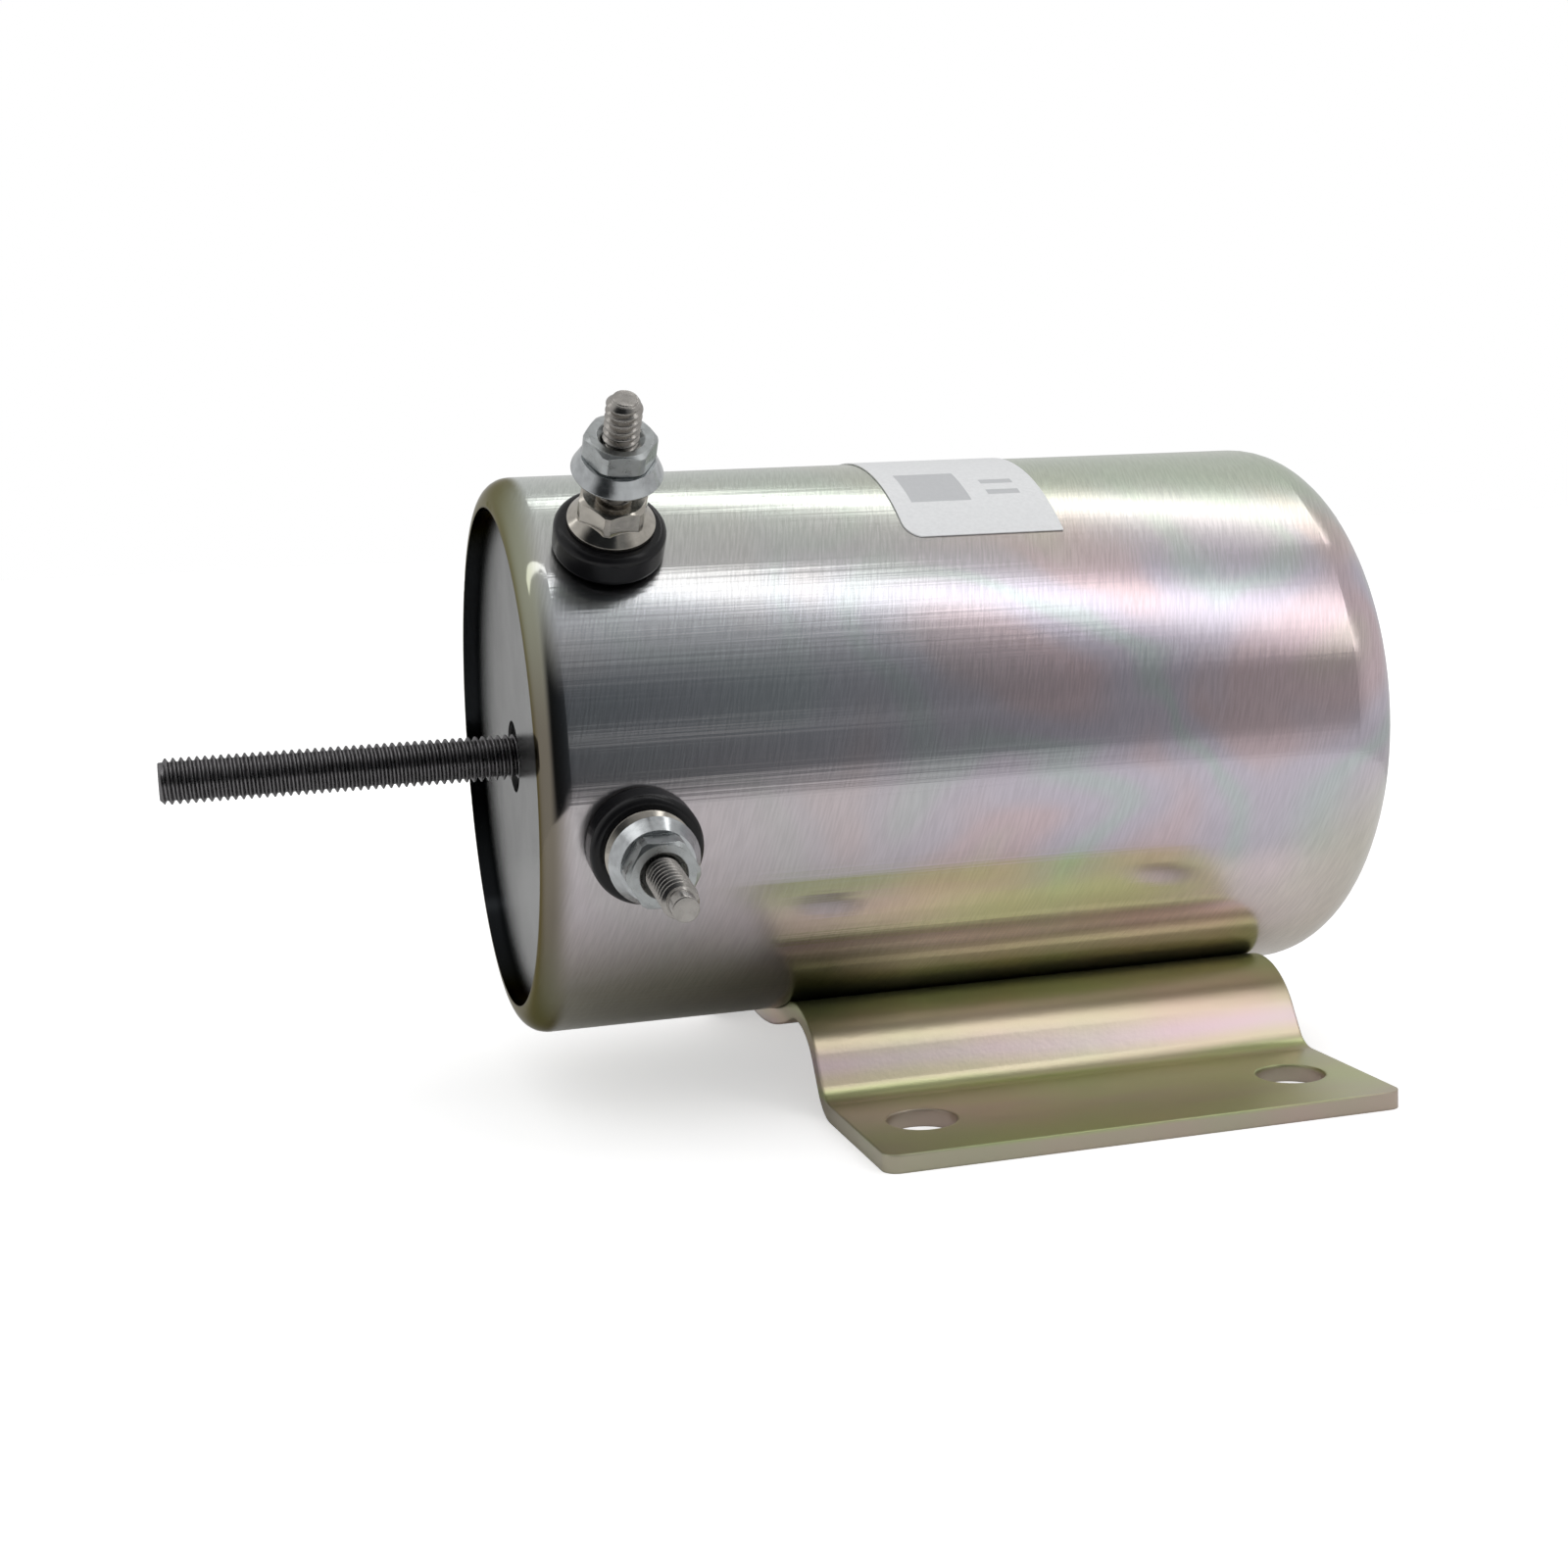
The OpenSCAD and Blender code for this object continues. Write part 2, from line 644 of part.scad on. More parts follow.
// Hex nut with its underside at height z
module hex_nut(angle, z, turn) {
    bore_r = stud_mean_d / 2 + thread_gap;
    color("silver") on_terminal(angle) difference() {
        nut_body(z, z + nut_t, turn, nut_crown, nut_crown);
        translate([0, 0, z - cut]) cylinder(r = bore_r, h = nut_t + 2 * cut);
        translate([0, 0, z + nut_t - nut_countersink])
            cylinder(r1 = bore_r, r2 = bore_r + nut_countersink + cut, h = nut_countersink + cut);
    }
}

// Ring lug under the stud's head, with its wire running back to the winding
module lead(angle) {
    wire_start = lug_d / 2 - wire_overlap;
    wire_end = bobbin_z + bobbin_flange_t - terminal_x;
    color("firebrick") on_terminal(angle) {
        difference() {
            translate([0, 0, lug_bottom]) cylinder(d = lug_d, h = lug_t);
            translate([0, 0, lug_bottom - cut]) cylinder(r = stud_d / 2 + stud_gap, h = lug_t + 2 * cut);
        }
        translate([wire_start, 0, wire_r]) rotate([0, 90, 0])
            cylinder(d = wire_d, h = wire_end - wire_start);
    }
}

shell();
mounting_bracket();
end_plate();
label();
plunger();
plunger_rod();
rod_lock_nut();
return_spring();
bumper_washer();
guide_tube();
rear_core();
flux_washer();
spacer_ring();
bobbin();
coil();
coil_tape();
insulating_liner();
rear_pad();
stud(upper_angle, upper_nut_z);  // upper_stud
outer_bush(upper_angle);  // upper_outer_bush
inner_washer(upper_angle);  // upper_inner_washer
flange_nut(upper_angle, upper_flange_turn);  // upper_flange_nut
cone_washer(upper_angle, upper_nut_z);  // upper_cone_washer
hex_nut(upper_angle, upper_nut_z, upper_hex_turn);  // upper_hex_nut
lead(upper_angle);  // upper_lead
stud(lower_angle, lower_nut_z);  // lower_stud
outer_bush(lower_angle);  // lower_outer_bush
inner_washer(lower_angle);  // lower_inner_washer
flange_nut(lower_angle, lower_flange_turn);  // lower_flange_nut
cone_washer(lower_angle, lower_nut_z);  // lower_cone_washer
hex_nut(lower_angle, lower_nut_z, lower_hex_turn);  // lower_hex_nut
lead(lower_angle);  // lower_lead
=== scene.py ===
# %% [markdown]
# # A fuel shutoff solenoid on a pale studio floor
# The object is a pull solenoid: a drawn steel can, zinc plated, on a sheet bracket. Its exact
# solids come ready as a frame in metres: X runs along the plunger, Z is up, and the feet stand on
# z = 0. This lesson gives every solid its finish, and models the screw threads and the spring that
# the plain solids only stand in for.

# %% Load the frame
import math
import bmesh
import bpy
from mathutils import Matrix, Vector


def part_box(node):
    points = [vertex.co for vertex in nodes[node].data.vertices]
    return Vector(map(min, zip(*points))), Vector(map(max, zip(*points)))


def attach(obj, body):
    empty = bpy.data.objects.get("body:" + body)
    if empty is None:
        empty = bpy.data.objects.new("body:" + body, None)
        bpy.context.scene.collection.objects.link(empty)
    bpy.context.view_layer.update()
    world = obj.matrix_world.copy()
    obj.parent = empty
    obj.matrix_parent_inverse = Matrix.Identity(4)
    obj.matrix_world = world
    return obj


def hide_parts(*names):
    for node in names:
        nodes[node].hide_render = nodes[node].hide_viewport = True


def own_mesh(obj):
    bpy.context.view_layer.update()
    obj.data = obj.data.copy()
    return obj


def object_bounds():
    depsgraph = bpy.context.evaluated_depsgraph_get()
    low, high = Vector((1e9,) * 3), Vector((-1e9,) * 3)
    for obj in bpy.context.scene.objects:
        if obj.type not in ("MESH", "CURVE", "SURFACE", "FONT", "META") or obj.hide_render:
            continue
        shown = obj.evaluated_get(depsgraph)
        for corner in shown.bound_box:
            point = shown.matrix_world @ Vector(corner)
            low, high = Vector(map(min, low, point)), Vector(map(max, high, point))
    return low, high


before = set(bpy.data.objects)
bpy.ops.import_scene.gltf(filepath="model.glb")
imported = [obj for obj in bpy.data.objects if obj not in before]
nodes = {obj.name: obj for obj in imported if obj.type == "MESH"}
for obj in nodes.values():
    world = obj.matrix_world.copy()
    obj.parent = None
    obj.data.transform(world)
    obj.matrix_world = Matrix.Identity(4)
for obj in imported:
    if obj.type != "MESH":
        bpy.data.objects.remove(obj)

solid_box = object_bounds()
size = [round(1000 * (high - low), 1) for low, high in zip(*solid_box)]
print("solids:", len(nodes), "size in mm:", size)

# %% [markdown]
# ## The camera
# The photograph was taken from a little in front of the can's open end and slightly above its
# axis. The place, direction and lens were worked out from the outline of the can and the screw
# threads, so they are plain numbers here. A camera looks along its own -Z, so it is first stood
# upright, turned round the vertical, and last rolled round its own line of sight.

# %% Camera
MM = 0.001
CAMERA_PLACE = Vector((-84.6, -224.4, 61.8)) * MM
TURN, DIP, ROLL = math.radians(15.3), math.radians(7.5), math.radians(-2.43)

camera_data = bpy.data.cameras.new("camera")
camera_data.sensor_width = 36.0
camera_data.lens = 48.6
camera = bpy.data.objects.new("camera", camera_data)
bpy.context.scene.collection.objects.link(camera)
camera.matrix_world = (
    Matrix.Translation(CAMERA_PLACE)
    @ Matrix.Rotation(-TURN, 4, "Z")
    @ Matrix.Rotation(math.pi / 2 - DIP, 4, "X")
    @ Matrix.Rotation(ROLL, 4, "Z")
)
bpy.context.scene.camera = camera
bpy.context.scene.view_settings.view_transform = "Standard"
print("camera stands", round(CAMERA_PLACE.length * 1000), "mm from the feet")

# %% [markdown]
# ## Building materials from nodes
# A material is a small graph of nodes. Two helpers keep the graphs short: one makes a node and
# sets its inputs, taking either a number or another node's output for each, and one starts a
# material with its Principled shader.

# %% Node and material
def add(tree, kind, inputs=None, **settings):
    """Makes a node, sets its properties and its inputs, and returns it."""
    made = tree.nodes.new(kind)
    for key, value in settings.items():
        setattr(made, key, value)
    for key, value in (inputs or {}).items():
        if isinstance(value, bpy.types.NodeSocket):
            tree.links.new(value, made.inputs[key])
        else:
            made.inputs[key].default_value = value
    return made


def start_material(name, **inputs):
    """A new material with its Principled shader's own sockets set, such as Metallic."""
    material = bpy.data.materials.new(name)
    material.use_nodes = True
    shader = material.node_tree.nodes["Principled BSDF"]
    for key, value in inputs.items():
        shader.inputs[key.replace("_", " ")].default_value = value
    return material, material.node_tree, shader


def plug(tree, shader, **outputs):
    """Links outputs to the shader's sockets, such as Base_Color or Normal."""
    for key, value in outputs.items():
        tree.links.new(value, shader.inputs[key.replace("_", " ")])


def dress(material, *names):
    """Gives CAD solids a finish by their material slots."""
    for name in names:
        data = nodes[name].data
        data.materials.clear()
        data.materials.append(material)
    print(material.name, "on", ", ".join(names))


# %% [markdown]
# A pattern needs a place to read. Object coordinates are metres in the part's own frame, so a
# pattern made from them stays where it is on the metal when a piece slides. A Mapping node moves
# and stretches them, and noise on stretched coordinates turns into lines.

# %% Places and noise
def separate(tree):
    """The point's own X, Y and Z in the part's frame."""
    coordinates = add(tree, "ShaderNodeTexCoord").outputs["Object"]
    return add(tree, "ShaderNodeSeparateXYZ", {0: coordinates}).outputs


def stretched(tree, scale=(1.0, 1.0, 1.0), shift=(0.0, 0.0, 0.0)):
    """Object coordinates, moved and stretched before a pattern reads them."""
    coordinates = add(tree, "ShaderNodeTexCoord").outputs["Object"]
    inputs = {"Vector": coordinates, "Location": shift, "Scale": scale}
    return add(tree, "ShaderNodeMapping", inputs).outputs[0]


def noise(tree, place, scale, detail=3.0, distortion=0.0):
    made = add(tree, "ShaderNodeTexNoise", {
        "Vector": place, "Scale": scale, "Detail": detail, "Distortion": distortion,
    })
    return made.outputs["Fac"]


# %% [markdown]
# Values from a pattern or a place are then shaped: arithmetic, a change of range that can be
# straight or soft at both ends, a colour ramp, and a mix of two colours.

# %% Shaping values
def maths(tree, operation, a, b=0.0, c=0.0):
    return add(tree, "ShaderNodeMath", {0: a, 1: b, 2: c}, operation=operation).outputs[0]


def remap(tree, value, start, end, low=0.0, high=1.0, soft=False):
    """Low where value is start, high where it is end, and held at both ends."""
    inputs = {"Value": value, "From Min": start, "From Max": end, "To Min": low, "To Max": high}
    kind = "SMOOTHSTEP" if soft else "LINEAR"
    return add(tree, "ShaderNodeMapRange", inputs, interpolation_type=kind).outputs[0]


def ramp(tree, value, stops, interpolation="LINEAR"):
    """A colour ramp: stops is a list of (position, colour), and a plain number is a grey."""
    made = add(tree, "ShaderNodeValToRGB", {"Fac": value})
    made.color_ramp.interpolation = interpolation
    elements = made.color_ramp.elements
    while len(elements) < len(stops):
        elements.new(0.5)
    for element, (position, colour) in zip(elements, stops):
        element.position = position
        rgb = colour if isinstance(colour, tuple) else (colour, colour, colour)
        element.color = (*rgb, 1.0)
    return made.outputs["Color"]


def mix(tree, share, a, b, blend_type="MIX"):
    """Colour a where share is 0, colour b where it is 1."""
    made = add(tree, "ShaderNodeMix", data_type="RGBA", blend_type=blend_type)
    for socket, value in ((made.inputs[0], share), (made.inputs[6], a), (made.inputs[7], b)):
        if isinstance(value, bpy.types.NodeSocket):
            tree.links.new(value, socket)
        else:
            socket.default_value = (*value, 1.0) if isinstance(value, tuple) else value
    return made.outputs[2]


# %% [markdown]
# A bump node tilts the surface's normal by a height that it reads, in metres, and a bevel node
# rounds the normal at a sharp edge, so that it catches the light as real sheet does.

# %% Surface relief
HUNDREDTH = 0.01 * MM


def bump(tree, height, strength, distance, normal=None):
    inputs = {"Height": height, "Strength": strength, "Distance": distance}
    if normal is not None:
        inputs["Normal"] = normal
    return add(tree, "ShaderNodeBump", inputs).outputs["Normal"]


def round_edges(tree, radius):
    return add(tree, "ShaderNodeBevel", {"Radius": radius}, samples=6).outputs["Normal"]


# %% [markdown]
# ## Zinc plate on the can
# The can is bright zinc with a thin coloured film over it. Seen from the side it is silver at the
# open end and drifts into lilac, pink and pale green towards the closed end, because the film is
# never even. It is built in layers here. Each layer is a colour and a share, and the share says
# by the place on the can where that colour lies. Soft noise is added to the place first, so that
# no border is straight.

# %% The can's sizes and places
CAN_R = 29.5 * MM
CAN_FRONT = -54.7 * MM
AXIS_Z = 36.4 * MM


def around(tree, place):
    """The distance round the can from its top, positive on the terminals' side."""
    up = maths(tree, "SUBTRACT", place["Z"], AXIS_Z)
    toward = maths(tree, "MULTIPLY", place["Y"], -1.0)
    return maths(tree, "MULTIPLY", maths(tree, "ARCTAN2", toward, up), CAN_R)


def distance_from_axis(tree, place):
    up = maths(tree, "SUBTRACT", place["Z"], AXIS_Z)
    aside_squared = maths(tree, "MULTIPLY", place["Y"], place["Y"])
    return maths(tree, "SQRT", maths(tree, "MULTIPLY_ADD", up, up, aside_squared))


zinc_can, tree, shader = start_material(
    "zinc_can", Metallic=1.0, Roughness=0.19, Anisotropic=0.6, Anisotropic_Rotation=0.25,
)
place = separate(tree)
cloud = noise(tree, stretched(tree, shift=(0.3, 0.1, 0.2)), 30.0, detail=2.0)
wander = maths(tree, "MULTIPLY_ADD", cloud, 0.03, -0.015)
from_front = maths(tree, "SUBTRACT", place["X"], CAN_FRONT)
above_axis = maths(tree, "SUBTRACT", place["Z"], AXIS_Z)
level = maths(tree, "MULTIPLY_ADD", wander, 0.25, above_axis)
print("can:", round(2000 * CAN_R, 1), "mm across, front at x =", round(1000 * CAN_FRONT, 1), "mm")

# %% Silver at the front, drifting colours at the rear
SILVER = (0.56, 0.585, 0.60)
DUSKY = (0.60, 0.535, 0.54)
LILAC = (0.63, 0.58, 0.66)
PINK = (0.70, 0.56, 0.59)
AQUA = (0.58, 0.62, 0.63)
STRAW = (0.67, 0.64, 0.52)
DRIFT_START = 18 * MM
DRIFT_FULL = 58 * MM

drift = noise(tree, stretched(tree), 42.0, detail=1.5, distortion=0.5)
drifting = ramp(tree, drift, [
    (0.30, STRAW), (0.40, PINK), (0.48, LILAC), (0.54, AQUA), (0.60, LILAC), (0.70, PINK),
], "EASE")
low_level = maths(tree, "MULTIPLY_ADD", wander, 0.5, above_axis)
low_share = remap(tree, low_level, 10 * MM, -4 * MM, high=0.75, soft=True)
rearward = maths(tree, "ADD", from_front, wander)
rear_share = remap(tree, rearward, DRIFT_START, DRIFT_FULL, low=0.15, soft=True)
plated = mix(tree, rear_share, mix(tree, low_share, SILVER, DUSKY), drifting)
print("colours drift from", round(1000 * DRIFT_START), "mm behind the front and are full at",
      round(1000 * DRIFT_FULL), "mm")

# %% Straw and mint over the top
MINT = (0.58, 0.65, 0.51)
MINT_START = 20 * MM
MINT_FULL = 27 * MM

top_film = ramp(tree, remap(tree, level, MINT_START, MINT_FULL), [(0.0, STRAW), (0.8, MINT)])
top_share = ramp(tree, remap(tree, level, 16 * MM, 30 * MM), [(0.0, 0.0), (0.35, 0.5), (0.75, 1.0)])
top_along = remap(tree, from_front, 0.0, 60 * MM, low=0.35, high=0.9)
plated = mix(tree, maths(tree, "MULTIPLY", top_share, top_along), plated, top_film)
print("straw turns to mint from", round(1000 * MINT_START), "mm above the axis")

# %% [markdown]
# The underside is uneven too. It is straw along the bottom, and that rises round the closed end.
# Above the bracket a warm, pale painted reflection of the foot lies on the can. In front of the
# bracket the belly has dark olive painted shade.

# %% Underside
REFLECTED_PINK = (1.0, 0.86, 0.97)
REFLECTED_STRAW = (1.0, 0.84, 0.86)
BELLY_SHADE = (0.17, 0.16, 0.10)
STRAW_RISE = 17 * MM
REFLECTION_LOW = -24 * MM
REFLECTION_TOP = -11 * MM

rear_rise = remap(tree, from_front, 66 * MM, 92 * MM, high=STRAW_RISE, soft=True)
bottom = maths(tree, "SUBTRACT", level, rear_rise)
plated = mix(tree, remap(tree, bottom, -16 * MM, -29 * MM, high=0.75, soft=True), plated, STRAW)

# Painted reflection: the bracket's foot mirrored warm and bright on the underside above it.
over_foot = ramp(tree, remap(tree, level, REFLECTION_LOW, REFLECTION_TOP), [
    (0.0, 0.4), (0.3, 1.0), (0.7, 0.8), (1.0, 0.0),
], "EASE")
beside_foot = ramp(tree, remap(tree, place["X"], -40 * MM, 36 * MM), [
    (0.0, 0.0), (0.25, 1.0), (0.75, 0.8), (1.0, 0.0),
], "EASE")
wandering_x = maths(tree, "ADD", place["X"], wander)
foot_reflection = ramp(tree, remap(tree, wandering_x, -30 * MM, 20 * MM), [
    (0.0, REFLECTED_PINK), (0.6, REFLECTED_STRAW),
])
plated = mix(tree, maths(tree, "MULTIPLY", over_foot, beside_foot), plated, foot_reflection)

# Painted shade: dark olive on the belly just in front of the bracket.
belly_shade = remap(tree, level, -12 * MM, -22.5 * MM, high=0.9, soft=True)
near_foot = ramp(tree, remap(tree, from_front, 0.0, 40 * MM), [
    (0.0, 0.7), (0.55, 1.0), (0.75, 1.0), (1.0, 0.0),
])
plated = mix(tree, maths(tree, "MULTIPLY", belly_shade, near_foot), plated, BELLY_SHADE)
# The warm film that this print names is the painted reflection of the foot.
print("the warm film ends", round(-1000 * REFLECTION_TOP), "mm below the axis")

# %% [markdown]
# The can was brushed round and round before plating, so fine lines run round it, slightly
# askew. Near the open end, long shallow lines from drawing the can also run along it, and they
# comb the edge of the bright streak. Both are noise on a flat map of the can, X along it and Y
# round it, that is stretched until it changes fast one way and slowly the other. The turned-in
# edge has neither.

# %% Brushed and drawn lines
BRUSHED = (4600.0, 330.0)
DRAWN = (22.0, 1900.0)
SMOOTH_UP_TO = 2.0 * MM
LINED_FROM = 3.4 * MM

round_can = around(tree, place)
skewed = maths(tree, "MULTIPLY_ADD", round_can, 0.25, place["X"])
flat_place = add(tree, "ShaderNodeCombineXYZ", {"X": skewed, "Y": round_can}).outputs[0]


def lines_on_can(along_can, round_it):
    """Noise with along_can changes in a metre along the can and round_it in a metre round it."""
    inputs = {"Vector": flat_place, "Scale": (along_can, round_it, 1.0)}
    return noise(tree, add(tree, "ShaderNodeMapping", inputs).outputs[0], 1.0, detail=2.0)


brushed = lines_on_can(*BRUSHED)
plated = mix(tree, 1.0, plated, ramp(tree, brushed, [(0.38, 0.93), (0.62, 1.04)]), "MULTIPLY")
off_edge = remap(tree, from_front, SMOOTH_UP_TO, LINED_FROM, soft=True)
front_share = remap(tree, from_front, 70 * MM, 30 * MM, low=0.25, soft=True)
lined_share = maths(tree, "MULTIPLY", front_share, off_edge)
grooves = bump(tree, maths(tree, "MULTIPLY", brushed, lined_share), 0.45, HUNDREDTH)
drawn = maths(tree, "MULTIPLY", lines_on_can(*DRAWN), lined_share)
relief = bump(tree, drawn, 1.0, 2 * HUNDREDTH, grooves)
print("the can is lined from", round(1000 * LINED_FROM, 1), "mm behind its front")

# %% [markdown]
# The turned-in edge is smooth and olive, palest at its top. Inside it the can has painted
# shade, dark as the gap round the end plate. A few specks lie on the film, at the middles of some
# cells of a Voronoi pattern.

# %% Edge, gap and specks
PALE_OLIVE = (0.38, 0.39, 0.30)
BROWN_OLIVE = (0.22, 0.195, 0.155)
DEEP_OLIVE = (0.26, 0.265, 0.18)
GAP_SHADE = (0.03, 0.033, 0.036)
SPECK = (0.10, 0.09, 0.08)
SPECKS_PER_METRE = 130.0
EDGE_FILM_FULL = 0.8 * MM
EDGE_FILM_END = 3.2 * MM
GAP_R = 26.52 * MM
GAP_SOFT_R = 26.75 * MM

edge_film = ramp(tree, remap(tree, above_axis, -CAN_R, CAN_R), [
    (0.0, DEEP_OLIVE), (0.30, BROWN_OLIVE), (0.55, BROWN_OLIVE), (0.85, PALE_OLIVE),
], "EASE")
off_film = remap(tree, from_front, EDGE_FILM_FULL, EDGE_FILM_END, soft=True)
plated = mix(tree, off_film, edge_film, plated)
# Painted shade inside the lip, where the gap round the end plate is.
in_gap = remap(tree, distance_from_axis(tree, place), GAP_SOFT_R, GAP_R, soft=True)
plated = mix(tree, in_gap, plated, GAP_SHADE)

cells = add(tree, "ShaderNodeTexVoronoi", {
    "Vector": add(tree, "ShaderNodeTexCoord").outputs["Object"], "Scale": SPECKS_PER_METRE,
}).outputs
cell_draw = add(tree, "ShaderNodeSeparateColor", {0: cells["Color"]}).outputs[0]
chosen = maths(tree, "GREATER_THAN", cell_draw, 0.7)
specks = maths(tree, "MULTIPLY", maths(tree, "LESS_THAN", cells["Distance"], 0.032), chosen)
plated = mix(tree, maths(tree, "MULTIPLY", specks, 0.75), plated, SPECK)
print("the edge's film ends", round(1000 * EDGE_FILM_END, 1), "mm behind the can's front")

# %% [markdown]
# Brushed metal spreads a reflection across its lines. The Anisotropic socket does that, and a
# tangent that runs round X tells it which way the lines lie. The smooth edge is glossier, and it
# is dimmed where it is seen at a grazing angle.

# %% Can's finish
EDGE_TINT = (0.40, 0.37, 0.28)
WHITE = (1.0, 1.0, 1.0)

plug(
    tree, shader, Base_Color=plated, Normal=relief,
    Tangent=add(tree, "ShaderNodeTangent", direction_type="RADIAL", axis="X").outputs[0],
    Roughness=maths(tree, "MULTIPLY_ADD", off_edge, 0.09, 0.10),
    Specular_Tint=mix(tree, off_edge, EDGE_TINT, WHITE),
)
dress(zinc_can, "shell")

# %% [markdown]
# ## Zinc plate on the bracket
# The bracket took more of the yellow film, and its colour changes with the height. So the film is
# a colour ramp that reads the height, with noise added. Its beige bands, at the foot's bend and
# high on the riser, are painted sheen. The sheet isn't brushed like the can, but slightly uneven
# and pitted.

# %% Bracket's film
OLIVE = (0.47, 0.43, 0.26)
MOSS = (0.53, 0.58, 0.29)
SAND = (0.52, 0.46, 0.36)
SHEEN_BEIGE = (0.74, 0.64, 0.46)
ROSE = (0.77, 0.63, 0.62)
FILM_TOP = 11 * MM

bracket_plate, tree, shader = start_material("bracket_plate", Metallic=0.88, Roughness=0.30)
sway = noise(tree, stretched(tree, (0.35, 1.0, 1.0)), 70.0, detail=2.0)
sway = maths(tree, "SUBTRACT", sway, 0.5)
height = maths(tree, "MULTIPLY_ADD", sway, 2 * MM, separate(tree)["Z"])
# The film's own colours, with painted sheen in the beige bands at the foot's bend and on the riser.
film_and_sheen = ramp(tree, remap(tree, height, 0.0, FILM_TOP), [
    (0.12, SAND), (0.18, MOSS), (0.27, SHEEN_BEIGE), (0.42, ROSE), (0.62, SHEEN_BEIGE), (0.76, OLIVE),
    (0.92, MOSS),
], "EASE")
patches = noise(tree, stretched(tree, shift=(0.4, 0.0, 0.0)), 55.0, detail=2.0)
tint = ramp(tree, patches, [(0.35, (0.95, 1.02, 0.96)), (0.5, 1.0), (0.65, (1.05, 0.95, 1.04))])
print("the bracket's film changes up to", round(1000 * FILM_TOP), "mm above the feet")

# %% Bracket's relief
SHEET_EDGE = 0.35 * MM

ripples = noise(tree, stretched(tree), 600.0, detail=4.0)
ripple = bump(tree, ripples, 0.35, 4 * HUNDREDTH, round_edges(tree, SHEET_EDGE))
pits = noise(tree, stretched(tree, shift=(0.2, 0.2, 0.2)), 2600.0, detail=2.0)
plug(tree, shader, Base_Color=mix(tree, 1.0, film_and_sheen, tint, "MULTIPLY"),
     Normal=bump(tree, pits, 0.35, 2 * HUNDREDTH, ripple))
dress(bracket_plate, "mounting_bracket")

# %% [markdown]
# ## End plate, fasteners and the inner metal
# The end plate is plain satin steel behind the can's turned-in edge, with painted shade where the
# two meet.
# The other metals differ only in colour, gloss and how much they vary, so one function makes
# them all. The rod is dark and oily, and edge dims it at a grazing angle. The parts inside show
# at most through the hole round the rod, and still get their own finish.

# %% End plate
LIP_SHADE = (0.06, 0.06, 0.06)

satin_plate, tree, shader = start_material(
    "satin_plate", Metallic=1.0, Roughness=0.24, Specular_Tint=(0.5, 0.5, 0.5, 1.0),
)
from_axis = distance_from_axis(tree, separate(tree))
# Painted shade on the plate's rim, under the can's turned-in edge.
lip_shade_share = remap(tree, from_axis, 22.5 * MM, 26.8 * MM, soft=True)
stains = noise(tree, stretched(tree), 160.0, detail=4.0)
plate_grey = ramp(tree, stains, [(0.35, (0.60, 0.605, 0.60)), (0.65, (0.68, 0.685, 0.68))])
plug(tree, shader, Base_Color=mix(tree, lip_shade_share, plate_grey, LIP_SHADE))
dress(satin_plate, "end_plate")

# %% Speckled metals
GRAINS_PER_METRE = 900.0
SPREAD = 0.12
TURNED_EDGE = 0.1 * MM


def speckled_metal(name, colour, roughness, edge=1.0):
    """Metal whose colour and roughness vary a little over the surface."""
    material, tree, shader = start_material(name, Metallic=1.0, Specular_Tint=(edge,) * 3 + (1.0,))
    grain = noise(tree, stretched(tree), GRAINS_PER_METRE)
    dark = tuple(c * (1 - SPREAD) for c in colour)
    pale = tuple(c * (1 + SPREAD) for c in colour)
    plug(tree, shader, Base_Color=ramp(tree, grain, [(0.35, dark), (0.65, pale)]),
         Roughness=remap(tree, grain, 0.3, 0.7, roughness * 0.8, roughness * 1.2),
         Normal=bump(tree, grain, 0.08, HUNDREDTH, round_edges(tree, TURNED_EDGE)))
    return material


rod_steel = speckled_metal("oiled_thread", (0.20, 0.195, 0.20), 0.28, edge=0.6)
stud_steel = speckled_metal("stud_zinc", (0.42, 0.40, 0.375), 0.26)
spring_wire = speckled_metal("spring_wire", (0.55, 0.55, 0.55), 0.25)
dress(stud_steel, "rod_lock_nut")
for name, colour, roughness, pieces in (
    ("turned_steel", (0.40, 0.40, 0.39), 0.35,
     ("plunger", "rear_core", "flux_washer", "spacer_ring")),
    ("brass", (0.72, 0.55, 0.28), 0.3, ("guide_tube",)),
    ("nickel_plate", (0.50, 0.47, 0.42), 0.16, ("upper_flange_nut", "lower_flange_nut")),
    ("nut_zinc", (0.46, 0.48, 0.48), 0.3, ("upper_hex_nut", "lower_hex_nut")),
    ("washer_zinc", (0.52, 0.54, 0.55), 0.18, ("upper_cone_washer", "lower_cone_washer")),
):
    dress(speckled_metal(name, colour, roughness), *pieces)

# %% [markdown]
# ## Plastic, rubber, paper and copper wire
# These reflect little, so their colour does the work, with a fine grain in it and in the relief.
# Only the black bushes show from outside, and they shine less than the others.

# %% Plain coats
def plain_coat(name, colour, roughness, shine=0.5):
    """A coloured surface with a fine grain; shine is the strength of its reflection."""
    material, tree, shader = start_material(name, Roughness=roughness, Specular_IOR_Level=shine)
    grain = noise(tree, stretched(tree), 700.0)
    dark = tuple(c * 0.85 for c in colour)
    plug(tree, shader, Base_Color=ramp(tree, grain, [(0.35, dark), (0.65, colour)]),
         Normal=bump(tree, grain, 0.1, 5 * HUNDREDTH))
    return material


